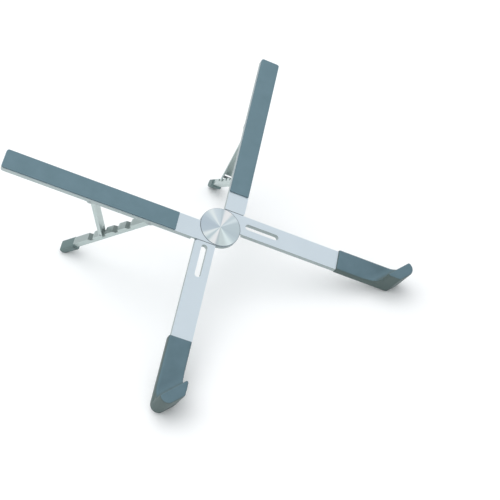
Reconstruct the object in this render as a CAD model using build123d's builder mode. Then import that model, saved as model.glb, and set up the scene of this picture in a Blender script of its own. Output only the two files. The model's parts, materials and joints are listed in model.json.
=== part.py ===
"""Folding X-shaped laptop stand: two aluminium bars crossing at a pivot, propped on two ratchet legs.

The world frame has +X to the right, +Y to the rear and +Z up, with the stand on the plane Z = 0.
The top faces of both bars lie in one tilted plane, the deck. Each bar has its own plane on the deck:
local x runs out along its rear arm and local y across it. A bar's rear arm lies on one side of its
long centre line and its front arm on the other, so that the folded bars lie side by side.
"""

import os
from math import cos, radians, sin, sqrt

from build123d import *

os.makedirs("parts", exist_ok=True)

# Stance of the open stand
deck_tilt = 31.0  # degrees, deck above the table
half_opening = 45.0  # degrees between each bar and the line from front to rear
floor_trim = 0.35  # how much of each rubber contact edge is moulded flat
box_shift = -6.495  # hub's place along Y that centres the stand's box on the origin

# Bars
bar_width = 14.0
bar_thickness = 3.6
edge_gap = 0.2  # each arm's inner edge stands this far off the centre line
rear_length = 143.5
front_length = 119.0
corner_radius = 2.2
hub_radius = 13.8
step_radius = 2.0  # outer corners where the lower bar rises to the deck
lap_depth = 1.65  # thickness that each bar keeps at the crossing
upper_rear_step = 16.8  # where the upper bar gets its full thickness behind the hub
upper_front_step = 15.4
lower_step = 14.4  # where the lower bar rises to the deck, both ways
slot_start = 16.3
slot_end = 40.1
slot_width = 4.1

# Channel under each rear arm, which the folded leg and strut lie in
top_skin = 1.2
wall = 1.3
channel_start = 24.0
channel_end = 141.0

# Hinges of the leg and the strut
leg_hinge = 45.0
strut_hinge = 85.0
hinge_depth = 3.0  # pin axis below the deck
pin_radius = 0.9
pin_clearance = 0.05
ear_radius = 2.2

# Leg
leg_angle = 62.0  # below the deck
leg_width = 5.4
leg_eye = 1.5
leg_top = -1.4  # tooth tips, measured from the hinge axis
leg_back = -5.8
leg_shoulder = 6.0
leg_tongue_start = 80.0
leg_tongue_end = 93.0
tongue_top = -2.6
tongue_back = -5.2
tooth_depth = 2.0
notch_count = 4
first_notch = 24.0
notch_pitch = 12.6
# A notch's outline from its seat, as distance along the leg and height over the tooth tips
notch_outline = [
    (-1.4, -tooth_depth),
    (1.2, -tooth_depth),
    (2.6, 0),
    (2.6, 2.4),
    (-3.6, 2.4),
    (-3.6, 0),
    (-2.0, -0.5),
]
seated_notch = 2  # the notch that the strut stands in

# Foot
foot_start = 80.0
foot_end = 96.0
foot_width = 7.8
foot_top = -1.6
foot_back = -7.4

# Strut
strut_width = 7.7
strut_thickness = 2.4
fork_gap = 5.9
fork_depth = 3.1
fork_overhang = 3.4

# Pads
pad_start = 28.4
pad_thickness = 1.0
pad_inset = 0.25
pad_front_corner = 0.5
pad_rear_corner = 1.5

# Hooks
sleeve_start = 83.7
sleeve_top = 1.4
sleeve_bottom = -5.7
sleeve_side = 1.3  # rubber beyond the bar's outer edge
front_line = 87.8  # front faces, ahead of the hub
nose_radius = 5.1
lip_top = 17.0
lip_thickness = 7.5
cove_radius = 6.5
lip_edge = 0.9
tongue_inset = 1.1  # the bar narrows by this on each edge inside the sleeve

# Hub
cap_radius = 13.7
cap_top = 0.25
cap_floor = -0.8  # bottom of the cap's recess in the upper bar
cap_gap = 0.15
axle_top = -0.3
axle_radius = 3.0
axle_clearance = 0.05
washer_radius = 10.0
washer_slack = 0.05
nut_across_flats = 10.0
nut_thickness = 2.6
spring_washer_thickness = 0.6
spring_washer_radius = 5.6

middle = (edge_gap + bar_width) / 2  # mid-line of an arm, off the centre line
arm_width = bar_width - edge_gap
channel_width = arm_width - 2 * wall

tilt_sin = sin(radians(deck_tilt))
tilt_cos = cos(radians(deck_tilt))
hub_height = front_line * tilt_sin - sleeve_bottom * tilt_cos - floor_trim
hub = Vector(0, box_shift, hub_height)
deck = Plane(origin=hub, x_dir=(1, 0, 0), z_dir=(0, -tilt_sin, tilt_cos))
deck_up = Axis(hub, deck.z_dir)


def bar_plane(side, height=0.0):
    """Plane of one bar, local x along its rear arm. side is 1 for the upper bar, which runs
    from rear left to front right, and -1 for the lower one."""
    spread = radians(half_opening)
    along = deck.y_dir * cos(spread) - deck.x_dir * side * sin(spread)
    return Plane(origin=hub + deck.z_dir * height, x_dir=along, z_dir=deck.z_dir)


def hinge_plane(side, distance, angle):
    """Plane through a hinge axis at an arm's middle. Local x points out along the arm, turned
    down by the angle, local y is away from the table, and the normal is the hinge axis."""
    bar = bar_plane(side)
    origin = bar.from_local_coords((distance, side * middle, -hinge_depth))
    along = bar.x_dir * cos(radians(angle)) - bar.z_dir * sin(radians(angle))
    return Plane(origin=origin, x_dir=along, z_dir=bar.y_dir * -1)


def is_step_corner(point):
    """Whether a point of the lower bar, in its own plane, is on a step's outer corner."""
    on_step = abs(abs(point.X) - lower_step) < 0.01
    on_outer_edge = abs(abs(point.Y) - bar_width) < 0.01
    return on_step and on_outer_edge and point.Z > lap_depth - bar_thickness


def save(builder, name):
    """Labels a finished piece and writes it."""
    builder.part.label = name
    export_step(builder.part, f"parts/{name}.step")


# Where the strut's catch stands over its notch, and the strut's length and angle that follow
seat_distance = first_notch + seated_notch * notch_pitch
seat_out = leg_hinge + seat_distance * cos(radians(leg_angle)) - strut_hinge
seat_down = seat_distance * sin(radians(leg_angle))
strut_length = sqrt(seat_out**2 + seat_down**2)
strut_angle = Vector(1, 0).get_angle(Vector(seat_out, seat_down))
print("strut length", round(strut_length, 3), "strut angle", round(strut_angle, 3))

bars = {"upper_bar": 1, "lower_bar": -1}
for name, side in bars.items():
    with BuildPart() as bar:
        with BuildSketch(bar_plane(side)):
            with Locations((rear_length / 2, side * middle)):
                RectangleRounded(rear_length, arm_width, corner_radius)
            with Locations((lower_step, side * middle)):
                Rectangle(2 * lower_step, arm_width)
            with Locations((-sleeve_start / 2, -side * middle)):
                Rectangle(sleeve_start, arm_width)
            with Locations((-front_length / 2, -side * middle)):
                Rectangle(front_length, arm_width - 2 * tongue_inset)
            Circle(hub_radius)
        extrude(amount=-bar_thickness)

        # Half lap at the crossing: the upper bar loses its underside, the lower one its top
        if side > 0:
            lap_plane = bar_plane(side, -bar_thickness)
            rear_step = upper_rear_step
            front_step = upper_front_step
        else:
            lap_plane = bar_plane(side, lap_depth - bar_thickness)
            rear_step = lower_step
            front_step = lower_step
        with BuildSketch(lap_plane):
            with Locations(((rear_step - front_step) / 2, 0)):
                Rectangle(rear_step + front_step, 3 * bar_width)
        extrude(amount=bar_thickness - lap_depth, mode=Mode.SUBTRACT)

        # Recess for the cap in the upper bar, rounded outer corners on the lower bar's steps
        if side > 0:
            with BuildSketch(bar_plane(side)):
                Circle(cap_radius + cap_gap)
            extrude(amount=cap_floor, mode=Mode.SUBTRACT)
        else:
            step_corners = [
                edge
                for edge in bar.edges().filter_by(Axis(hub, deck.z_dir))
                if is_step_corner(bar_plane(side).to_local_coords(edge.center()))
            ]
            fillet(step_corners, radius=step_radius)

        # Channel under the rear arm
        with BuildSketch(bar_plane(side, -bar_thickness)):
            with Locations(((channel_start + channel_end) / 2, side * middle)):
                RectangleRounded(channel_end - channel_start, channel_width, 1.0)
        extrude(amount=bar_thickness - top_skin, mode=Mode.SUBTRACT)

        # Ears that carry the two hinge pins
        for distance in (leg_hinge, strut_hinge):
            for across in (-1, 1):
                ear_plane = hinge_plane(side, distance, 0).offset(across * (arm_width - wall) / 2)
                with BuildSketch(ear_plane):
                    Circle(ear_radius)
                    with Locations((0, hinge_depth / 2 - 0.1)):
                        Rectangle(2 * ear_radius, hinge_depth - 0.2)
                extrude(amount=wall / 2, both=True)
            with BuildSketch(hinge_plane(side, distance, 0)):
                Circle(pin_radius)
            extrude(amount=bar_width, both=True, mode=Mode.SUBTRACT)

        # Window along the front arm
        with BuildSketch(bar_plane(side)):
            with Locations((-(slot_start + slot_end) / 2, -side * middle)):
                SlotOverall(slot_end - slot_start, slot_width)
        extrude(amount=-bar_thickness, mode=Mode.SUBTRACT)

        # Hole for the axle: a press fit in the upper bar, a running fit in the lower one
        with BuildSketch(bar_plane(side)):
            Circle(axle_radius if side > 0 else axle_radius + axle_clearance)
        extrude(amount=-bar_thickness, mode=Mode.SUBTRACT)
    save(bar, name)

pads = {"pad_left": 1, "pad_right": -1}
for name, side in pads.items():
    with BuildPart() as pad:
        with BuildSketch(bar_plane(side)) as pad_outline:
            with Locations(((pad_start + rear_length - pad_inset) / 2, side * middle)):
                pad_length = rear_length - pad_inset - pad_start
                Rectangle(pad_length, arm_width - 2 * pad_inset)
            pad_corners = pad_outline.vertices().sort_by(Axis.X)
            fillet(pad_corners[:2], radius=pad_front_corner)
            fillet(pad_corners[2:], radius=pad_rear_corner)
        extrude(amount=pad_thickness)
        pad_rim = pad.faces().sort_by(deck_up)[-1].edges()
        fillet(pad_rim, radius=0.35)
    save(pad, name)

legs = {"left": 1, "right": -1}
for name, side in legs.items():
    leg_frame = hinge_plane(side, leg_hinge, leg_angle)

    with BuildPart() as leg:
        with BuildSketch(leg_frame):
            Circle(leg_eye)
            with BuildLine():
                Polyline(
                    (-leg_eye, 0),
                    (leg_eye, 0),
                    (leg_shoulder, leg_top),
                    (leg_tongue_start, leg_top),
                    (leg_tongue_start, tongue_top),
                    (leg_tongue_end, tongue_top),
                    (leg_tongue_end, tongue_back),
                    (leg_tongue_start, tongue_back),
                    (leg_tongue_start, leg_back),
                    (leg_eye, leg_back),
                    (-leg_eye, leg_top - leg_eye),
                    close=True,
                )
            make_face()
            for step in range(notch_count):
                seat = first_notch + step * notch_pitch
                notch = [(seat + along, leg_top + height) for along, height in notch_outline]
                with BuildLine():
                    Polyline(*notch, close=True)
                make_face(mode=Mode.SUBTRACT)
            Circle(pin_radius + pin_clearance, mode=Mode.SUBTRACT)
        extrude(amount=leg_width / 2, both=True)
    save(leg, f"leg_{name}")

    with BuildPart() as foot:
        with BuildSketch(leg_frame):
            with Locations(((foot_start + foot_end) / 2, (foot_top + foot_back) / 2)):
                Rectangle(foot_end - foot_start, foot_top - foot_back)
        extrude(amount=foot_width / 2, both=True)
        foot_end_face = foot.faces().sort_by(Axis(hub, leg_frame.x_dir))[-1]
        fillet(foot_end_face.edges().filter_by(Axis(hub, leg_frame.z_dir)), radius=2.2)
        fillet(foot.edges().filter_by(Axis(hub, leg_frame.x_dir)), radius=0.8)
        with BuildSketch(leg_frame):
            with Locations(((foot_start + leg_tongue_end) / 2, (tongue_top + tongue_back) / 2)):
                Rectangle(leg_tongue_end - foot_start, tongue_top - tongue_back)
        extrude(amount=leg_width / 2, both=True, mode=Mode.SUBTRACT)
        split(bisect_by=Plane.XY, keep=Keep.TOP)
    save(foot, f"foot_{name}")

    strut_frame = hinge_plane(side, strut_hinge, strut_angle)
    strut_end = strut_length + fork_overhang
    with BuildPart() as strut:
        with BuildSketch(strut_frame):
            with Locations((strut_end / 2, 0)):
                SlotOverall(strut_end + strut_thickness, strut_thickness)
        extrude(amount=strut_width / 2, both=True)
        fork_root = strut_length - fork_depth
        with BuildSketch(strut_frame):
            with Locations((fork_root + strut_length / 2, 0)):
                Rectangle(strut_length, 3 * strut_thickness)
        extrude(amount=fork_gap / 2, both=True, mode=Mode.SUBTRACT)
        with BuildSketch(strut_frame):
            Circle(pin_radius + pin_clearance)
        extrude(amount=strut_width, both=True, mode=Mode.SUBTRACT)
        with BuildSketch(strut_frame):
            with Locations((strut_length, 0)):
                Circle(pin_radius)
        extrude(amount=strut_width, both=True, mode=Mode.SUBTRACT)
    save(strut, f"strut_{name}")

    with BuildPart() as catch_pin:
        with BuildSketch(strut_frame):
            with Locations((strut_length, 0)):
                Circle(pin_radius)
        extrude(amount=strut_width / 2, both=True)
    save(catch_pin, f"catch_pin_{name}")

    hinges = {"leg": (leg_hinge, leg_width), "strut": (strut_hinge, strut_width)}
    for hinge, (distance, inner_width) in hinges.items():
        with BuildPart() as pin:
            with BuildSketch(hinge_plane(side, distance, 0)):
                Circle(pin_radius)
            extrude(amount=arm_width / 2, both=True)
        save(pin, f"{hinge}_pin_{name}")

        with BuildPart() as spacers:
            spacer_length = (channel_width - inner_width) / 2 - 2 * washer_slack
            offset_to_spacer = (channel_width / 2) - washer_slack
            for across in (-1, 1):
                with BuildSketch(hinge_plane(side, distance, 0).offset(across * offset_to_spacer)):
                    Circle(leg_eye)
                    Circle(pin_radius, mode=Mode.SUBTRACT)
                extrude(amount=-across * spacer_length)
        save(spacers, f"{hinge}_spacers_{name}")

hooks = {"hook_right": 1, "hook_left": -1}
for name, side in hooks.items():
    outer_edge = bar_width + sleeve_side
    front_run = front_line / cos(radians(half_opening))  # along the inner edge to the front line
    with BuildPart() as hook:
        with BuildSketch(bar_plane(side, sleeve_bottom)) as sleeve_outline:
            with BuildLine():
                Polyline(
                    (-sleeve_start, -side * edge_gap),
                    (-front_run - edge_gap, -side * edge_gap),
                    (-front_run - outer_edge, -side * outer_edge),
                    (-sleeve_start, -side * outer_edge),
                    close=True,
                )
            make_face()
            nose = sleeve_outline.vertices().sort_by(Axis.X)[0]
            fillet(nose, radius=nose_radius)
        extrude(amount=lip_top - sleeve_bottom)

        # Room for the laptop: clears the block behind the lip, down a cove to the sleeve's top
        lip_rear = lip_thickness - front_line
        lip_profile = Plane(origin=hub, x_dir=deck.y_dir, z_dir=deck.x_dir)
        with BuildSketch(lip_profile):
            with BuildLine():
                Polyline(
                    (lip_rear + cove_radius, sleeve_top),
                    (0, sleeve_top),
                    (0, 2 * lip_top),
                    (lip_rear, 2 * lip_top),
                    (lip_rear, sleeve_top + cove_radius),
                )
                RadiusArc(
                    (lip_rear, sleeve_top + cove_radius),
                    (lip_rear + cove_radius, sleeve_top),
                    cove_radius,
                )
            make_face()
        extrude(amount=2 * front_line, both=True, mode=Mode.SUBTRACT)
        lip_rim = hook.faces().sort_by(deck_up)[-1].edges()
        chamfer(lip_rim, length=lip_edge)

        # Pocket for the bar's narrowed end
        with BuildSketch(bar_plane(side, -bar_thickness)):
            with Locations((-(sleeve_start + front_length) / 2, -side * middle)):
                Rectangle(front_length - sleeve_start, arm_width - 2 * tongue_inset)
        extrude(amount=bar_thickness, mode=Mode.SUBTRACT)
        split(bisect_by=Plane.XY, keep=Keep.TOP)
    save(hook, name)

washer_top = -lap_depth
washer_thickness = bar_thickness - 2 * lap_depth - washer_slack
underside = -bar_thickness
spring_top = underside - washer_slack
nut_top = spring_top - spring_washer_thickness
axle_bottom = nut_top - nut_thickness - 0.6

with BuildPart() as hub_cap:
    with BuildSketch(bar_plane(1, cap_floor)):
        Circle(cap_radius)
    extrude(amount=cap_top - cap_floor)
    cap_rim = hub_cap.faces().sort_by(deck_up)[-1].edges()
    chamfer(cap_rim, length=0.3)
    with BuildSketch(bar_plane(1, cap_floor)):
        Circle(axle_radius)
    extrude(amount=axle_top - cap_floor, mode=Mode.SUBTRACT)
save(hub_cap, "hub_cap")

with BuildPart() as axle:
    with BuildSketch(bar_plane(1, axle_bottom)):
        Circle(axle_radius)
    extrude(amount=axle_top - axle_bottom)
save(axle, "hub_axle")

with BuildPart() as slip_washer:
    with BuildSketch(bar_plane(1, washer_top)):
        Circle(washer_radius)
        Circle(axle_radius, mode=Mode.SUBTRACT)
    extrude(amount=-washer_thickness)
save(slip_washer, "slip_washer")

with BuildPart() as spring_washer:
    with BuildSketch(bar_plane(1, spring_top)):
        Circle(spring_washer_radius)
        Circle(axle_radius, mode=Mode.SUBTRACT)
    extrude(amount=-spring_washer_thickness)
save(spring_washer, "spring_washer")

with BuildPart() as nut:
    with BuildSketch(bar_plane(1, nut_top)):
        RegularPolygon(nut_across_flats / 2, 6, major_radius=False)
        Circle(axle_radius, mode=Mode.SUBTRACT)
    extrude(amount=-nut_thickness)
save(nut, "hub_nut")
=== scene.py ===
# %% [markdown]
# # A folding laptop stand
#
# Two slim aluminium bars cross at a pivot and carry a laptop on silicone pads and hooks. The packed
# CAD model arrives as a fixed frame of bodies and nodes. This lesson dresses it: the metal parts keep
# their CAD shape and get real finishes, and the soft parts and the turned cap are made again here, as
# surfaces worked out with numpy.

# %% Load the frame
import json

import bmesh
import bpy
import numpy as np
from mathutils import Matrix


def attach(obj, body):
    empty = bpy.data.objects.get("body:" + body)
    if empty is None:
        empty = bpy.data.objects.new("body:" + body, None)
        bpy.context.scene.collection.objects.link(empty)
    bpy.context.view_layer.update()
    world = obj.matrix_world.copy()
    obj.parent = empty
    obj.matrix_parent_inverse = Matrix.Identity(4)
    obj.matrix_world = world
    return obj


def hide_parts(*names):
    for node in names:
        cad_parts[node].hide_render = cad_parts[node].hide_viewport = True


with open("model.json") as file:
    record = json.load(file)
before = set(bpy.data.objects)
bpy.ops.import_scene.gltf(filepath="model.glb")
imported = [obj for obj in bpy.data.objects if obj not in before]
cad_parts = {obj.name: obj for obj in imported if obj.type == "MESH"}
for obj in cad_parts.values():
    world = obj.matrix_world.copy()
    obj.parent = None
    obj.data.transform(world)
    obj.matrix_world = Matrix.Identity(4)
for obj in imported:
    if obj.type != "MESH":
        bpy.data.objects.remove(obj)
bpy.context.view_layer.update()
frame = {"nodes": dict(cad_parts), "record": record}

# %% [markdown]
# ## Where things are
#
# The top faces of both bars lie in one tilted plane, the deck. Its normal is the axis of the pivot
# between the bars, so the record of joints gives the whole layout. Two sets of axes are enough: the
# deck's own, with x to the right and y to the rear, and each bar's, with x out along its rear arm.
# Lengths are in millimetres until the very end, when a mesh is put into metres.

# %% Axes of the deck and of each bar
MM = 0.001
joints = {joint["name"]: joint for joint in frame["record"]["behaviour"]["joints"]}
hub = np.array(joints["hub_fold"]["pos_m"])
deck_normal = np.array(joints["hub_fold"]["axis"])
deck_right = np.array([1.0, 0.0, 0.0])
deck_rear = np.cross(deck_normal, deck_right)
deck_axes = np.array([deck_right, deck_rear, deck_normal])


def bar_axes(side):
    """Rows are a bar's axes: out along its rear arm, across it, and the deck normal. side is 1 for
    the upper bar, from rear left to front right, and -1 for the lower one. The axis along is at 45
    degrees to the deck's two, and the axis across is the normal crossed with it."""
    along = (deck_rear - side * deck_right) / np.sqrt(2)
    return np.array([along, np.cross(deck_normal, along), deck_normal])


def place(points, axes, origin=hub):
    """World points in metres of local ones in millimetres: the origin plus each coordinate times
    its axis."""
    return np.asarray(points, float) @ axes * MM + origin


deck_tilt = np.degrees(np.arctan2(deck_rear[2], deck_rear[1]))
print(f"deck tilted {deck_tilt:.1f} degrees, hub {hub[2] / MM:.1f} mm above the table")

# %% Sizes shared with the metal parts, in millimetres
bar_width = 14.0
edge_gap = 0.2  # from a bar's inner edge to the line through the pivot, so that the folded bars clear
middle = (bar_width + edge_gap) / 2
pad_start, pad_end = 28.4, 143.25  # along the rear arm
pad_width, pad_thickness = 13.3, 1.0
sleeve_start = 83.7  # along the front arm
front_line = 87.8  # from the pivot to the front of both hooks
sleeve_bottom, sleeve_top = -5.7, 1.4  # heights from the deck
sleeve_outer = bar_width + 1.3
nose_radius = 5.1
lip_top = 17.0  # height from the deck
lip_rear = -80.3  # the deck's y of the face that stops the laptop
lip_point = 82.2  # how near the lip's blunted point comes to the middle of the stand
lip_root = 2.2  # how far the lip starts above the sleeve's underside
cove_radius = 6.5
cap_radius = 13.7
cap_floor, cap_top = -0.8, 0.25  # heights from the deck
print("pad", round(pad_end - pad_start, 2), "mm long; lip", lip_top, "mm above the deck")

# %% [markdown]
# ## The camera and the light
#
# A product like this is usually shown from high on the left, with a long lens, on white. The camera
# stands where the two bars and one leg can be read at once, and its place and turn are given in the
# deck's axes. The light is one large soft panel above with a weaker one beside it, in a bright room.
# The overhead panel lights the rubber and the floor but is kept out of reflections: mirrored in the
# deck it would burn the metal out to plain white.

# %% Camera
camera_in_deck = np.array([-333.4, -145.8, 575.5])  # millimetres from the pivot
camera_rows = np.array(  # the camera's right, up and back, each in the deck's axes
    [
        [0.78183, -0.51123, 0.35690],
        [0.36697, 0.84009, 0.39948],
        [-0.50406, -0.18136, 0.84441],
    ]
)
focal_length, sensor_width = 75.2, 36.0  # millimetres
camera_data = bpy.data.cameras.new("camera")
camera_data.lens = focal_length
camera_data.sensor_width = sensor_width
camera_data.clip_start = 0.01
camera = bpy.data.objects.new("camera", camera_data)
bpy.context.collection.objects.link(camera)
camera_matrix = np.eye(4)
camera_matrix[:3, :3] = (camera_rows @ deck_axes).T
camera_matrix[:3, 3] = place(camera_in_deck, deck_axes)
camera.matrix_world = Matrix(camera_matrix)
bpy.context.scene.camera = camera
print("camera at", np.round(camera_matrix[:3, 3], 3))

# %% Lights and the room
scene = bpy.context.scene
scene.view_settings.view_transform = "Standard"
stand_centre = np.array([0.0, 0.0, 0.05])  # metres, about half the open stand's height


def panel_light(name, position, size, power):
    """A square area light at position, turned so that it shines at the stand: its own z is the
    direction back from the stand, its x is the vertical crossed with that."""
    data = bpy.data.lights.new(name, "AREA")
    data.shape = "SQUARE"
    data.size = size
    data.energy = power
    light = bpy.data.objects.new(name, data)
    bpy.context.collection.objects.link(light)
    back = np.array(position) - stand_centre
    back /= np.linalg.norm(back)
    right = np.cross([0.0, 0.0, 1.0], back)
    right /= np.linalg.norm(right)
    turn = np.eye(4)
    turn[:3, :3] = np.array([right, np.cross(back, right), back]).T
    turn[:3, 3] = position
    light.matrix_world = Matrix(turn)
    return light


overhead = panel_light("overhead_panel", (-0.25, 0.45, 1.3), size=2.1, power=11.5)
overhead.visible_glossy = False
panel_light("side_panel", (-1.1, -0.5, 0.7), size=1.0, power=2.5)
room = bpy.data.worlds.new("room")
room.use_nodes = True
room_light = room.node_tree.nodes["Background"]
room_light.inputs["Color"].default_value = (0.96, 0.98, 1.0, 1.0)
room_light.inputs["Strength"].default_value = 0.82
scene.world = room

# %% [markdown]
# ## Helpers for materials
#
# Colours are easiest to think of as sRGB hex values, but shaders work in linear light, so one
# function turns the one into the other. A second adds a node with its settings and its links, and a
# third starts a material. Rubber and metal get different colours on their walls and on their tops, and
# that change of tint is painted shade by facing, so it has a function of its own, worked out from the
# piece's normals.

# %% Colour and node helpers


def linear(hex_colour):
    """Linear RGBA of an sRGB hex value: c / 12.92 below 0.04045, else ((c + 0.055) / 1.055) ** 2.4."""
    srgb = np.array([int(hex_colour[i : i + 2], 16) for i in (1, 3, 5)]) / 255
    rgb = np.where(srgb <= 0.04045, srgb / 12.92, ((srgb + 0.055) / 1.055) ** 2.4)
    return (*rgb.tolist(), 1.0)


def add_node(tree, kind, settings=None, links=None):
    """Adds a node. settings sets its properties, or its inputs where the key is an input's name;
    links maps an input's name to the output socket that feeds it."""
    node = tree.nodes.new(kind)
    for key, value in (settings or {}).items():
        if key in node.inputs:
            node.inputs[key].default_value = value
        else:
            setattr(node, key, value)
    for key, source in (links or {}).items():
        tree.links.new(source, node.inputs[key])
    return node


def new_material(name, **surface):
    """A material with one Principled shader, whose uniform values are set on its own sockets."""
    material = bpy.data.materials.new(name)
    material.use_nodes = True
    shader = material.node_tree.nodes["Principled BSDF"]
    for key, value in surface.items():
        shader.inputs[key.replace("_", " ")].default_value = value
    return material, material.node_tree, shader


wall_cosine, top_cosine = 0.35, 0.85  # of normals 70 and 32 degrees off the deck's
# A Mix node repeats its sockets' names for numbers, vectors and colours. These are the colours' places.
COLOUR_A, COLOUR_B, MIXED_COLOUR = 6, 7, 2


def painted_facing_shade(tree, normal, top, side):
    """Colour socket that gives top where the piece's own normal is near the deck's and the colour
    side where it is not, so that the step between them is painted shade by facing. The share of top
    rises from 0 to 1 as the cosine between the two normals goes from wall_cosine to top_cosine."""
    cosine = add_node(tree, "ShaderNodeVectorMath", {"operation": "DOT_PRODUCT"}, {"Vector": normal})
    cosine.inputs[1].default_value = deck_normal
    share = add_node(
        tree,
        "ShaderNodeMapRange",
        {"From Min": wall_cosine, "From Max": top_cosine},
        {"Value": cosine.outputs["Value"]},
    )
    mix = add_node(tree, "ShaderNodeMix", {"data_type": "RGBA"}, {"Factor": share.outputs["Result"]})
    mix.inputs[COLOUR_A].default_value = linear(side)
    tree.links.new(top, mix.inputs[COLOUR_B])
    return mix.outputs[MIXED_COLOUR]


def grain_scale(size_mm):
    """Noise scale, on Object coordinates in metres, whose features are about size_mm across."""
    return 1.0 / (size_mm * MM)


print("linear mid grey:", np.round(linear("#808080")[:3], 3))

# %% [markdown]
# ## Anodised aluminium
#
# The bars are blasted with fine glass beads and then anodised clear. Blasting scatters the light, so
# there is no mirror image, only a soft silver sheen with a very fine tooth. The real tooth is about
# 0.05 mm, far finer than a render can show, so it is drawn at about 0.7 mm and kept shallow. A second,
# much larger pattern makes the sheen drift a little, as it does where hands have been.
#
# The walls of the bars and of their slots take a duller, darker grey than the broad faces: painted
# shade, for the shade that walls fall into. On the bars the broad faces are the ones that look along
# the deck's normal. Legs and struts stand on edge, so theirs look sideways, and what turns towards the
# normal is a narrow edge with its sawn notches: their two colours are the other way round, so the
# painted shade lies on the edge and in the notches.

# %% Anodised aluminium for bars, legs and struts
tooth_mm, drift_mm = 0.7, 22.0


def anodised(name, light, dark, side, roughness):
    """Clear-anodised aluminium: metallic, with a fine tooth and a slow drift. Faces that look along
    the deck's normal drift between light and dark; side is the colour of the others, and the step
    between the two is painted shade. The tooth makes the roughness wander by 0.05 either way."""
    material, tree, shader = new_material(name, Metallic=1.0)
    coordinates = add_node(tree, "ShaderNodeTexCoord")
    where = coordinates.outputs["Object"]
    tooth = add_node(
        tree, "ShaderNodeTexNoise", {"Scale": grain_scale(tooth_mm), "Detail": 3.0}, {"Vector": where}
    )
    drift = add_node(
        tree, "ShaderNodeTexNoise", {"Scale": grain_scale(drift_mm), "Detail": 2.0}, {"Vector": where}
    )
    colour = add_node(tree, "ShaderNodeMix", {"data_type": "RGBA"}, {"Factor": drift.outputs["Fac"]})
    colour.inputs[COLOUR_A].default_value = linear(dark)
    colour.inputs[COLOUR_B].default_value = linear(light)
    finish = painted_facing_shade(tree, coordinates.outputs["Normal"], colour.outputs[MIXED_COLOUR], side)
    rough = add_node(
        tree,
        "ShaderNodeMapRange",
        {"To Min": roughness - 0.05, "To Max": roughness + 0.05},
        {"Value": tooth.outputs["Fac"]},
    )
    bump = add_node(
        tree,
        "ShaderNodeBump",
        {"Strength": 0.12, "Distance": 0.05 * MM},
        {"Height": tooth.outputs["Fac"]},
    )
    tree.links.new(finish, shader.inputs["Base Color"])
    tree.links.new(rough.outputs["Result"], shader.inputs["Roughness"])
    tree.links.new(bump.outputs["Normal"], shader.inputs["Normal"])
    return material


# The darker side colour paints shade on the bars' walls and on the walls of their slots.
bar_metal = anodised(
    "clear_anodised_aluminium", light="#e5f0f7", dark="#deeaf1", side="#a9b4b4", roughness=0.42
)
# On legs and struts the darker colours go on the narrow edges and the notches as painted shade.
leg_metal = anodised(
    "clear_anodised_leg_aluminium", light="#909c9a", dark="#889492", side="#c0ccca", roughness=0.46
)
print("made", bar_metal.name, "and", leg_metal.name)

# %% [markdown]
# ## Steel and nylon
#
# The hinge pins, the axle and its nut are plain drawn steel, darker and sharper than the aluminium.
# The slip washer and the spacers are natural nylon, which is cloudy and lets a little light in. Each
# has a fine mottle between two close tones, so that a small part isn't one flat colour.

# %% Steel and nylon


def mottle(tree, size_mm, dark, light, **noise_settings):
    """Colour socket of noise about size_mm across that runs between two tones."""
    noise = add_node(
        tree,
        "ShaderNodeTexNoise",
        {"Scale": grain_scale(size_mm), **noise_settings},
        {"Vector": add_node(tree, "ShaderNodeTexCoord").outputs["Object"]},
    )
    tones = add_node(tree, "ShaderNodeValToRGB", None, {"Fac": noise.outputs["Fac"]})
    tones.color_ramp.elements[0].color = linear(dark)
    tones.color_ramp.elements[1].color = linear(light)
    return tones.outputs["Color"]


steel, steel_tree, steel_shader = new_material("drawn_steel", Metallic=1.0, Roughness=0.34)
steel_tone = mottle(steel_tree, 0.6, "#80868a", "#a3a9ac", Detail=2.0)
steel_tree.links.new(steel_tone, steel_shader.inputs["Base Color"])

nylon, nylon_tree, nylon_shader = new_material(
    "natural_nylon", Roughness=0.45, IOR=1.53, Subsurface_Weight=0.15
)
nylon_tone = mottle(nylon_tree, 1.5, "#dcdedb", "#eceeec")
nylon_tree.links.new(nylon_tone, nylon_shader.inputs["Base Color"])
print("made", steel.name, "and", nylon.name)

# %% [markdown]
# ## Silicone
#
# Hooks and feet are moulded silicone rubber, and the pads are cut from a moulded sheet of it, all of
# them tinted blue-grey. The moulds are spark-eroded, which leaves an even matt grain, so the rubber
# shows no highlight, only a soft bloom at grazing angles. The bloom is the sheen layer of the shader.
# The grain is drawn at 0.6 mm, coarser than the real one. The walls get a duller, slightly greener
# colour than the faces on top: painted shade, for the shade that walls fall into.

# %% Silicone and foot rubber
grain_mm, cloud_mm = 0.6, 9.0


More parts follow.
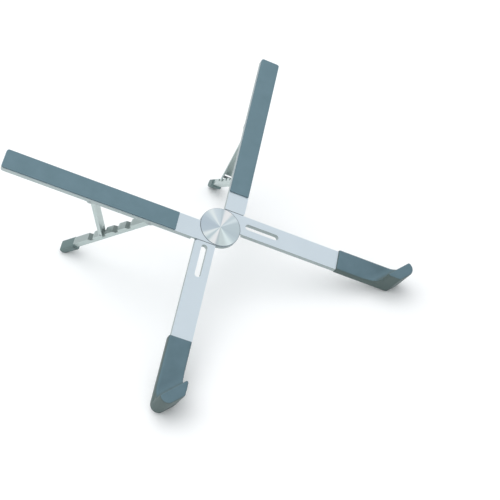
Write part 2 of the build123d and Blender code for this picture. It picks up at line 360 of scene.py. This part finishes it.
def silicone(name, light, dark, side, roughness, sheen):
    """Matt moulded rubber: a tint clouded between light and dark, an even grain in the bump and a
    faint bloom. side is the colour of its walls, darker than the tint as painted shade. The grain
    makes the roughness wander by 0.06 either way."""
    material, tree, shader = new_material(
        name, IOR=1.42, Sheen_Weight=sheen, Sheen_Roughness=0.5, Specular_IOR_Level=0.35
    )
    shader.inputs["Sheen Tint"].default_value = linear("#dbe6ea")
    coordinates = add_node(tree, "ShaderNodeTexCoord")
    where = coordinates.outputs["Object"]
    grain = add_node(
        tree, "ShaderNodeTexNoise", {"Scale": grain_scale(grain_mm), "Detail": 4.0}, {"Vector": where}
    )
    clouds = add_node(
        tree, "ShaderNodeTexNoise", {"Scale": grain_scale(cloud_mm), "Detail": 3.0}, {"Vector": where}
    )
    tint = add_node(tree, "ShaderNodeValToRGB", None, {"Fac": clouds.outputs["Fac"]})
    tint.color_ramp.elements[0].position = 0.25
    tint.color_ramp.elements[0].color = linear(dark)
    tint.color_ramp.elements[1].position = 0.75
    tint.color_ramp.elements[1].color = linear(light)
    rough = add_node(
        tree,
        "ShaderNodeMapRange",
        {"To Min": roughness - 0.06, "To Max": roughness + 0.06},
        {"Value": grain.outputs["Fac"]},
    )
    bump = add_node(
        tree,
        "ShaderNodeBump",
        {"Strength": 0.35, "Distance": 0.06 * MM},
        {"Height": grain.outputs["Fac"]},
    )
    finish = painted_facing_shade(tree, coordinates.outputs["Normal"], tint.outputs["Color"], side)
    tree.links.new(finish, shader.inputs["Base Color"])
    tree.links.new(rough.outputs["Result"], shader.inputs["Roughness"])
    tree.links.new(bump.outputs["Normal"], shader.inputs["Normal"])
    return material


# Each side colour is darker than its tops: painted shade on the walls of pads, hooks and feet.
pad_silicone = silicone(
    "moulded_silicone_pad", light="#67808a", dark="#617a83", side="#586d74", roughness=0.72, sheen=0.12
)
hook_silicone = silicone(
    "moulded_silicone_hook", light="#5e7680", dark="#576f78", side="#4a5957", roughness=0.68, sheen=0.15
)
foot_rubber = silicone(
    "moulded_foot_rubber", light="#728585", dark="#667878", side="#637574", roughness=0.75, sheen=0.1
)
print("made", pad_silicone.name, hook_silicone.name, foot_rubber.name)

# %% [markdown]
# ## Rounded plates
#
# Pads, feet, sleeves and lips are all the same kind of thing: a flat outline given a thickness, with
# its edges rounded over. Such a shape is a surface of two parameters. One runs round the outline, the
# other runs up a profile that goes from the lower face, round a quarter circle, up the side, round
# another quarter circle and on to the upper face.

# %% Outlines


def rectangle(x_low, x_high, y_low, y_high):
    """Corners of a rectangle, walked anticlockwise from the lowest."""
    return [(x_low, y_low), (x_high, y_low), (x_high, y_high), (x_low, y_high)]


def rounded_outline(corners, radii, steps=8):
    """Points round a polygon with each corner turned by an arc. For a corner turned by angle a with
    radius r, the arc starts r * tan(a / 2) before the corner and its centre lies inside."""
    corners = np.asarray(corners, float)
    points = []
    for i, corner in enumerate(corners):
        before = corners[i - 1] - corner
        after = corners[(i + 1) % len(corners)] - corner
        before /= np.linalg.norm(before)
        after /= np.linalg.norm(after)
        half = np.arccos(np.clip(before @ after, -1, 1)) / 2
        inward = (before + after) / np.linalg.norm(before + after)
        centre = corner + inward * radii[i] / np.sin(half)
        first = corner + before * radii[i] / np.tan(half) - centre
        last = corner + after * radii[i] / np.tan(half) - centre
        share = np.linspace(0, 1, steps)[:, None]
        sweep = np.pi - 2 * half
        arc = (np.sin((1 - share) * sweep) * first + np.sin(share * sweep) * last) / np.sin(sweep)
        points.append(centre + arc)
    return np.concatenate(points)


def outward_normals(outline):
    """Unit normals of a closed outline, from the chord between each point's neighbours."""
    chord = np.roll(outline, -1, axis=0) - np.roll(outline, 1, axis=0)
    normal = np.stack([chord[:, 1], -chord[:, 0]], axis=1)
    following = np.roll(outline, -1, axis=0)
    area = np.sum(outline[:, 0] * following[:, 1] - following[:, 0] * outline[:, 1])
    return normal / np.linalg.norm(normal, axis=1, keepdims=True) * np.sign(area)


def mirrored(corners, side):
    """The same outline on the bar that side names: y times side, walked so that it keeps its
    direction."""
    flipped = np.asarray(corners, float) * [1, side]
    return flipped if side > 0 else flipped[::-1]


test_outline = rounded_outline(rectangle(0, 4, 0, 2), [0.5] * 4)
print("rounded rectangle:", test_outline.shape, "up to", test_outline.max(axis=0).round(3))

# %% The rounded plate


def plate_points(outline, low, high, edge, crown=0.0, rounds=6, rings=4):
    """Grid of points over a rounded plate, rings first. Ring k is the outline moved in along its
    normal by edge * (1 - sin a) at height low + edge * (1 - cos a) as a goes from 0 to a quarter
    turn, then the same mirrored at the top. Further rings shrink to the middle line of the upper
    face, raised by crown * (1 - share ** 2), where share is how far out the ring still is."""
    normal = outward_normals(outline)
    angle = np.linspace(0, np.pi / 2, rounds)
    pull = edge * (1 - np.sin(angle))
    inset = np.concatenate([pull, pull[::-1]])
    lift = edge * (1 - np.cos(angle))
    height = np.concatenate([low + lift, high - lift[::-1]])
    sides = outline[None] - normal[None] * inset[:, None, None]
    levels = np.broadcast_to(height[:, None, None], (*sides.shape[:2], 1))
    grid = [np.concatenate([sides, levels], axis=2)]
    rim = sides[-1]
    half_width = min(np.ptp(rim[:, 0]), np.ptp(rim[:, 1])) / 2
    long_way = int(np.ptp(rim[:, 1]) > np.ptp(rim[:, 0]))
    spine = rim.mean(axis=0)[None].repeat(len(rim), axis=0)
    lowest, highest = rim[:, long_way].min() + half_width, rim[:, long_way].max() - half_width
    spine[:, long_way] = np.clip(rim[:, long_way], lowest, highest)
    share = np.linspace(1, 0, rings + 1)[1:, None, None]
    tops = spine[None] + (rim - spine)[None] * share
    raised = np.broadcast_to(high + crown * (1 - share**2), (*tops.shape[:2], 1))
    grid.append(np.concatenate([tops, raised], axis=2))
    return np.concatenate(grid)


def closed_grid_faces(rings, around):
    """Faces of a grid that closes round the outline: quads between rings, one face under the first
    ring and one over the last."""
    ring, step = np.meshgrid(np.arange(rings - 1), np.arange(around), indexing="ij")
    after = (step + 1) % around
    here, above = ring * around, (ring + 1) * around
    quads = np.stack([here + step, here + after, above + after, above + step], axis=-1).reshape(-1, 4)
    floor = np.arange(around)[::-1]
    ceiling = (rings - 1) * around + np.arange(around)
    return [*quads.tolist(), floor.tolist(), ceiling.tolist()]


print("rounded plate:", plate_points(test_outline, 0, 1, 0.2).shape, "rings, points round, coordinates")

# %% From points to a piece


def tidy_surface(piece):
    """Merges points that lie within a hundredth of a millimetre and turns every face outwards."""
    work = bmesh.new()
    work.from_mesh(piece.data)
    bmesh.ops.remove_doubles(work, verts=work.verts, dist=0.01 * MM)
    bmesh.ops.recalc_face_normals(work, faces=work.faces)
    work.to_mesh(piece.data)
    work.free()


def make_piece(name, points, faces, material):
    """A smooth mesh object at the origin with its points in metres and one material."""
    mesh = bpy.data.meshes.new(name)
    mesh.from_pydata(np.asarray(points).reshape(-1, 3).tolist(), [], faces)
    mesh.validate()
    mesh.polygons.foreach_set("use_smooth", np.full(len(mesh.polygons), True))
    mesh.materials.append(material)
    piece = bpy.data.objects.new(name, mesh)
    bpy.context.collection.objects.link(piece)
    tidy_surface(piece)
    return piece


print("ready to make pieces in", bpy.context.collection.name)

# %% [markdown]
# ## The pads
#
# Each pad is a strip of silicone sheet, die-cut with nearly square corners in front and rounder ones
# behind, and glued on. The glue line lets the middle stand a hair proud, which catches the light.

# %% Pads
front_corner, rear_corner = 0.5, 1.5
pad_radii = [front_corner, rear_corner, rear_corner, front_corner]
pad_edge, pad_crown = 0.3, 0.05
for name, side, body in (("pad_left", 1, "upper_frame"), ("pad_right", -1, "lower_frame")):
    corners = rectangle(pad_start, pad_end, middle - pad_width / 2, middle + pad_width / 2)
    outline = rounded_outline(mirrored(corners, side), pad_radii, steps=10)
    grid = plate_points(outline, 0.0, pad_thickness - pad_crown, pad_edge, crown=pad_crown)
    faces = closed_grid_faces(*grid.shape[:2])
    pad = make_piece(f"{name}_silicone", place(grid, bar_axes(side)), faces, pad_silicone)
    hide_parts(name)
    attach(pad, body)
    print(pad.name, len(pad.data.polygons), "faces")

# %% [markdown]
# ## The hooks
#
# A hook is one moulding: a sleeve over the end of the front arm, and a lip across the sleeve's full
# width that stops the laptop sliding forward. The lip lies parallel to the laptop's edge, so it is at
# 45 degrees to the bar, and its inner end comes to a point. Sleeve, lip and a cove between them are
# made as three closed shells, then merged by a voxel remesh and relaxed, which rounds every corner.

# %% The hooks' own shapes


def cut_outline(outline, direction, limit):
    """The part of a closed outline whose coordinate along direction is at most limit. An edge that
    crosses the limit gives one more point, at share excess / (excess - next excess) along it."""
    excess = outline @ np.asarray(direction, float) - limit
    following = np.roll(excess, -1)
    crossing = (excess <= 0) != (following <= 0)
    share = excess / np.where(crossing, excess - following, 1.0)
    meeting = outline + (np.roll(outline, -1, axis=0) - outline) * share[:, None]
    both = np.stack([outline, meeting], axis=1)
    return both[np.stack([excess <= 0, crossing], axis=1)]


def cove_points(side, inner_inset, outer_inset, overlap=1.0, steps=9):
    """Concave fillet behind the lip: a quarter circle from the lip's rear face down to the sleeve's
    top. For each y it runs in x between the sleeve's two sides, which lie on x + y = constant, and
    stops short of them by the insets. The profile is closed through the corner below, which is set
    into lip and sleeve by overlap."""
    angle = np.linspace(0, np.pi / 2, steps)
    behind = [lip_rear + cove_radius, lip_rear - overlap, lip_rear - overlap]
    below = [sleeve_top - overlap, sleeve_top - overlap, sleeve_top + cove_radius]
    y = np.concatenate([lip_rear + cove_radius * (1 - np.cos(angle)), behind])
    z = np.concatenate([sleeve_top + cove_radius * (1 - np.sin(angle)), below])
    inner = edge_gap * np.sqrt(2) + inner_inset
    outer = sleeve_outer * np.sqrt(2) - outer_inset
    x = np.linspace(inner, outer, 4)[:, None] - y[None]
    return np.stack(np.broadcast_arrays(x * side, y[None], z[None]), axis=-1)


print("cove:", cove_points(1, 0.0, 0.0).shape, "places across, points of the profile, coordinates")

# %% Hooks
sleeve_radii = [0.4, 0.8, nose_radius, 1.3]  # inner and outer rear corners, nose, inner front corner
sleeve_edge, lip_edge = 1.5, 1.0
voxel = 0.45  # grid of the remesh, small against the rounded edges


def make_hook(name, side, body):
    """Sleeve, lip and cove merged into one moulding. The front line crosses the arm at 45 degrees,
    so a line along the arm at distance d from the pivot meets it at distance run + d."""
    run = front_line * np.sqrt(2)
    sleeve_corners = [
        (-sleeve_start, -edge_gap),
        (-sleeve_start, -sleeve_outer),
        (-run - sleeve_outer, -sleeve_outer),
        (-run - edge_gap, -edge_gap),
    ]
    radii = sleeve_radii if side > 0 else sleeve_radii[::-1]
    sleeve_outline = rounded_outline(mirrored(sleeve_corners, side), radii, steps=16)
    sleeve = plate_points(sleeve_outline, sleeve_bottom, sleeve_top, sleeve_edge)
    shells = [(place(sleeve, bar_axes(side)), closed_grid_faces(*sleeve.shape[:2]))]

    along, across = sleeve_outline.T
    in_deck = np.stack([-side * along - across, along - side * across], axis=1) / np.sqrt(2)
    lip_outline = cut_outline(in_deck, (0, 1), lip_rear)
    lip_outline = cut_outline(lip_outline, (-side, 0), -lip_point)
    lip = plate_points(lip_outline, sleeve_bottom + lip_root, lip_top, lip_edge)
    shells.append((place(lip, deck_axes), closed_grid_faces(*lip.shape[:2])))

    cove = cove_points(side, inner_inset=0.3, outer_inset=1.0)
    shells.append((place(cove, deck_axes), closed_grid_faces(*cove.shape[:2])))

    points, faces, used = [], [], 0
    for shell_points, shell_faces in shells:
        flat = shell_points.reshape(-1, 3)
        points.append(flat)
        faces.extend([[index + used for index in face] for face in shell_faces])
        used += len(flat)
    hook = make_piece(name, np.concatenate(points), faces, hook_silicone)
    merge = hook.modifiers.new("merge", "REMESH")
    merge.mode = "VOXEL"
    merge.voxel_size = voxel * MM
    merge.use_smooth_shade = True
    relax = hook.modifiers.new("relax", "SMOOTH")
    relax.factor = 0.5
    relax.iterations = 7
    depsgraph = bpy.context.evaluated_depsgraph_get()
    moulding = bpy.data.meshes.new_from_object(hook.evaluated_get(depsgraph))
    moulding.polygons.foreach_set("use_smooth", np.full(len(moulding.polygons), True))
    hook.modifiers.clear()
    hook.data = moulding
    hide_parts(name.replace("_moulding", ""))
    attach(hook, body)
    return hook


for name, side, body in (("hook_right", 1, "upper_frame"), ("hook_left", -1, "lower_frame")):
    hook = make_hook(f"{name}_moulding", side, body)
    print(hook.name, len(hook.data.polygons), "faces")

# %% [markdown]
# ## The feet
#
# Each foot is a thick-walled rubber cap pushed over the end of a leg, with its end rounded. Its own
# plane stands on edge: x runs down the leg and y points to the toothed side.

# %% Feet
foot_start, foot_end, foot_width = 80.0, 96.0, 7.8
foot_top, foot_back = -1.6, -7.4  # across the leg, from the hinge's axis
foot_mouth, foot_heel, foot_edge = 0.5, 2.4, 1.1  # radii of its open end, its closed end, its edges
leg_drop = np.radians(62.0)  # how far an open leg hangs down from its bar
for name, side, body in (("left", 1, "leg_left_body"), ("right", -1, "leg_right_body")):
    hinge = np.array(joints[f"leg_fold_{name}"]["pos_m"])
    bar = bar_axes(side)
    down_leg = bar[0] * np.cos(leg_drop) - deck_normal * np.sin(leg_drop)
    to_teeth = bar[0] * np.sin(leg_drop) + deck_normal * np.cos(leg_drop)
    leg_axes = np.array([down_leg, to_teeth, np.cross(down_leg, to_teeth)])
    corners = rectangle(foot_start, foot_end, foot_back, foot_top)
    outline = rounded_outline(corners, [foot_mouth, foot_heel, foot_heel, foot_mouth], steps=10)
    grid = plate_points(outline, -foot_width / 2, foot_width / 2, foot_edge)
    points = place(grid, leg_axes, hinge)
    points[..., 2] = np.maximum(points[..., 2], 0.0)  # moulded flat where it meets the table
    foot = make_piece(f"foot_{name}_rubber", points, closed_grid_faces(*grid.shape[:2]), foot_rubber)
    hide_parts(f"foot_{name}")
    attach(foot, body)
    print(foot.name, "lowest point", round(float(points[..., 2].min()) / MM, 3), "mm")

# %% [markdown]
# ## The hub cap
#
# The cap is faced on a lathe, and the tool leaves rings so fine that they act as a grating: light
# spreads across them into bright wedges that meet in the middle. Anisotropic reflection gives that
# look where the tangent runs round the disc. A UV map holds the angle and the radius, so that both
# the tangent and the painted fan of reflections follow the turning.

# %% The turned cap


def lathe_grid(profile, around=128):
    """Points of a surface of revolution: each (r, z) of the profile becomes a ring of
    (r * cos t, r * sin t, z)."""
    turn = np.arange(around) * 2 * np.pi / around
    radius, height = np.asarray(profile, float).T
    x = radius[:, None] * np.cos(turn)
    y = radius[:, None] * np.sin(turn)
    return np.stack([x, y, np.broadcast_to(height[:, None], x.shape)], axis=-1)


centre_radius = 0.02  # the rings close to a point too small to see
dish_depth = 0.12  # how far the turned face sinks from its rim to its centre, as a parabola
face_radii = np.linspace(cap_radius - 0.45, centre_radius, 24)
face_heights = cap_top - dish_depth * (1 - (face_radii / cap_radius) ** 2)
cap_profile = [  # up the outside, with a small chamfer below and a broken edge above, then inwards
    (centre_radius, cap_floor),
    (cap_radius - 0.2, cap_floor),
    (cap_radius, cap_floor + 0.2),
    (cap_radius, cap_top - 0.3),
    (cap_radius - 0.1, cap_top - 0.1),
    (cap_radius - 0.28, cap_top),
    *zip(face_radii, face_heights),
]
cap_grid = lathe_grid(cap_profile)
cap_faces = closed_grid_faces(*cap_grid.shape[:2])

cap_metal, cap_tree, cap_shader = new_material(
    "turned_aluminium", Metallic=1.0, Roughness=0.3, Anisotropic=0.7
)
cap = make_piece("hub_cap_turned", place(cap_grid, deck_axes), cap_faces, cap_metal)
print(cap.name, len(cap.data.polygons), "faces")

# %% The cap's own map: angle and radius
corner_index = np.zeros(len(cap.data.loops), int)
cap.data.loops.foreach_get("vertex_index", corner_index)
cap_points = np.zeros(len(cap.data.vertices) * 3)
cap.data.vertices.foreach_get("co", cap_points)
flat_points = (cap_points.reshape(-1, 3) - hub) @ deck_axes.T / MM
corner_x, corner_y = flat_points[corner_index, :2].T
corner_angle = np.arctan2(corner_y, corner_x) / (2 * np.pi) + 0.5
corner_radius = np.hypot(corner_x, corner_y)
starts = np.zeros(len(cap.data.polygons), int)
totals = np.zeros(len(cap.data.polygons), int)
cap.data.polygons.foreach_get("loop_start", starts)
cap.data.polygons.foreach_get("loop_total", totals)
owner = np.repeat(np.arange(len(totals)), totals)
highest_angle = np.maximum.reduceat(corner_angle, starts)
corner_angle += (highest_angle[owner] - corner_angle > 0.5) * 1.0  # keeps the seam's faces whole
turning = cap.data.uv_layers.new(name="turning")
turning.data.foreach_set("uv", np.stack([corner_angle, corner_radius / cap_radius], axis=1).ravel())
print("map", turning.name, "over", len(corner_index), "face corners")

# %% [markdown]
# The room here is too even to draw the wedges alone, so the wedges are painted reflections: a fan of
# tone laid over the face as a ramp over the angle, counted in turns. Light wedges come in opposite
# pairs, because real rings spread each lamp's reflection to both sides of the centre. The rings
# themselves are a wave in the radius, drawn 0.5 mm apart, which is coarser than a tool's real feed.
# The broken edge round the face lies in the narrow gap to the bar and is painted dark, as painted
# shade.

# %% The cap's finish
ring_pitch = 0.5
# The dark edge is painted shade, for the narrow gap between the cap and the bar.
rim_shade_start, rim_shade_end = 0.976, 0.99  # shares of the cap's radius over which the dark edge comes in
uv = add_node(cap_tree, "ShaderNodeUVMap", {"uv_map": "turning"})
split = add_node(cap_tree, "ShaderNodeSeparateXYZ", None, {"Vector": uv.outputs["UV"]})
wrapped = add_node(cap_tree, "ShaderNodeMath", {"operation": "FRACT"}, {"Value": split.outputs["X"]})
fan = add_node(cap_tree, "ShaderNodeValToRGB", None, {"Fac": wrapped.outputs["Value"]})
fan.color_ramp.interpolation = "EASE"
# Painted reflections: the light tones are the wedges of reflected lamp light.
painted_reflection_tones = [
    (0.000, "#f8ffff"),
    (0.040, "#d0dfe3"),
    (0.072, "#fbffff"),
    (0.100, "#ffffff"),
    (0.127, "#cbd7da"),
    (0.155, "#dae6e6"),
    (0.185, "#dae6e6"),
    (0.237, "#f2ffff"),
    (0.300, "#d1dfe4"),
    (0.335, "#cad8de"),
    (0.400, "#cedce1"),
    (0.462, "#cfdde2"),
    (0.500, "#eaf5f9"),
    (0.535, "#d8e5ea"),
    (0.572, "#ffffff"),
    (0.606, "#ffffff"),
    (0.637, "#d0dde3"),
    (0.667, "#dde9ef"),
    (0.700, "#e2edf3"),
    (0.742, "#f7ffff"),
    (0.795, "#d8e5ec"),
    (0.835, "#cbd9e2"),
    (0.880, "#c8d6e0"),
    (0.960, "#cbd9e2"),
    (1.000, "#f8ffff"),
]
ramp = fan.color_ramp
ramp.elements[0].color = linear(painted_reflection_tones[0][1])
ramp.elements[1].color = linear(painted_reflection_tones[-1][1])
for position, tone in painted_reflection_tones[1:-1]:
    ramp.elements.new(position).color = linear(tone)
rings = add_node(cap_tree, "ShaderNodeMath", {"operation": "MULTIPLY"}, {"Value": split.outputs["Y"]})
rings.inputs[1].default_value = cap_radius / ring_pitch * 2 * np.pi
wave = add_node(cap_tree, "ShaderNodeMath", {"operation": "SINE"}, {"Value": rings.outputs["Value"]})
groove = add_node(
    cap_tree,
    "ShaderNodeBump",
    {"Strength": 0.25, "Distance": 0.01 * MM},
    {"Height": wave.outputs["Value"]},
)
tangent = add_node(cap_tree, "ShaderNodeTangent", {"direction_type": "UV_MAP", "uv_map": "turning"})
rim = add_node(
    cap_tree,
    "ShaderNodeMapRange",
    {"From Min": rim_shade_start, "From Max": rim_shade_end},
    {"Value": split.outputs["Y"]},
)
painted_reflection_and_rim_shade = add_node(
    cap_tree, "ShaderNodeMix", {"data_type": "RGBA"}, {"Factor": rim.outputs["Result"]}
)
cap_tree.links.new(fan.outputs["Color"], painted_reflection_and_rim_shade.inputs[COLOUR_A])
# The darker rim colour is painted shade at the cap's edge.
painted_reflection_and_rim_shade.inputs[COLOUR_B].default_value = linear("#828e95")
cap_tree.links.new(painted_reflection_and_rim_shade.outputs[MIXED_COLOUR], cap_shader.inputs["Base Color"])
cap_tree.links.new(groove.outputs["Normal"], cap_shader.inputs["Normal"])
cap_tree.links.new(tangent.outputs["Tangent"], cap_shader.inputs["Tangent"])
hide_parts("hub_cap")
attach(cap, "upper_frame")
print("fan of", len(painted_reflection_tones), "tones")

# %% [markdown]
# ## Finishes on the metal and nylon parts
#
# The remaining parts keep their CAD meshes, and each takes its finish from its slot in the record. The
# table names every slot, so the hidden CAD shapes of the remade pieces get a finish as well.

# %% Materials on CAD nodes
finish_of_slot = {
    "bar_aluminium": bar_metal,
    "leg_aluminium": leg_metal,
    "spun_cap": cap_metal,
    "silicone": hook_silicone,
    "foot_rubber": foot_rubber,
    "nylon": nylon,
    "steel": steel,
}
for part in frame["record"]["subparts"]:
    node = frame["nodes"][part["node"]]
    finish = finish_of_slot[part["material_slot"]]
    if len(node.data.materials) == 0:
        node.data.materials.append(finish)
    for index in range(len(node.material_slots)):
        node.material_slots[index].link = "OBJECT"
        node.material_slots[index].material = finish

# %% [markdown]
# ## The floor
#
# A plain pale sheet, large enough to reach past the view, with the faintest unevenness of paper.

# %% Floor
floor_material, floor_tree, floor_shader = new_material("white_paper", Roughness=0.9)
floor_tone = mottle(floor_tree, 60.0, "#f7f8f8", "#fcfcfc")
floor_tree.links.new(floor_tone, floor_shader.inputs["Base Color"])
reach = 4.0  # metres from the middle to each edge
floor_mesh = bpy.data.meshes.new("floor")
floor_corners = [(-reach, -reach, 0), (reach, -reach, 0), (reach, reach, 0), (-reach, reach, 0)]
floor_mesh.from_pydata(floor_corners, [], [(0, 1, 2, 3)])
floor_mesh.materials.append(floor_material)
floor = bpy.data.objects.new("floor", floor_mesh)
bpy.context.collection.objects.link(floor)
print("floor", 2 * reach, "m wide")
